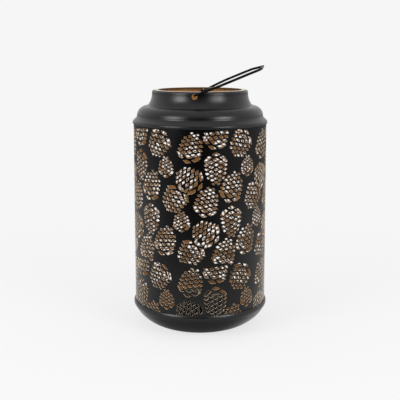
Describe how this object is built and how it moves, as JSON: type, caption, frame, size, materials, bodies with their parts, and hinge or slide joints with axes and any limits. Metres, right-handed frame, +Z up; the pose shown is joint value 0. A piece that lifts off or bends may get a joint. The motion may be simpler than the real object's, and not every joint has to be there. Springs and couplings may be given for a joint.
{
  "type": "led lantern",
  "caption": "Jar shaped metal lantern with a wall pierced in a pinecone pattern, an open neck, a swinging wire bail and a battery lamp unit in its base.",
  "frame": {"origin": "on the lantern's axis, on the plane of its foot", "axes": "+Z up along the axis; the bail swings about a line along Y and is stored leaning towards +X; the picture looks nearly along +Y"},
  "size_m": [0.1538, 0.1538, 0.2964],
  "materials": {
    "black_coat": "satin powder coat outside, gold bronze lacquer inside",
    "black_plastic": "fine moulded grain",
    "white_plastic": "smooth",
    "plated_steel": "zinc or nickel plate",
    "board_green": "solder mask",
    "resistor_tan": "lacquer",
    "lamp_resin": "diffused clear resin",
    "cell_jacket": "plain printed film",
    "red_insulation": "soft"
  },
  "bodies": {
    "lantern": {"base_pan": "black_coat", "pierced_body": "black_coat", "collar": "black_coat", "light_cover": "black_plastic", "battery_tray": "black_plastic", "switch_body": "plated_steel", "circuit_board": "board_green", "timer_chip": "black_plastic", "resistor": "resistor_tan", "led": "lamp_resin", "led_spacer": "black_plastic", "cell_1": "cell_jacket", "cell_2": "cell_jacket", "bridge_contact": "plated_steel", "spring_contact": "plated_steel", "plate_contact": "plated_steel", "red_lead": "red_insulation", "black_lead": "black_plastic", "tray_screws": "plated_steel", "board_screws": "plated_steel"},
    "bail": {"bail_handle": "black_coat"},
    "door": {"battery_door": "black_plastic"},
    "switch": {"switch_knob": "white_plastic"}
  },
  "joints": [
    {"name": "bail_swing", "type": "hinge", "parent": "lantern", "child": "bail", "pos_m": [0, 0, 0.26635], "axis": [0, -1, 0], "range_deg": [-38.9, 174.1]},
    {"name": "door_hinge", "type": "hinge", "parent": "lantern", "child": "door", "pos_m": [-0.0222, 0, 0.0026], "axis": [0, 1, 0], "range_deg": [0, 90]},
    {"name": "switch_slide", "type": "slide", "parent": "lantern", "child": "switch", "axis": [1, 0, 0], "range_m": [0, 0.004]}
  ]
}
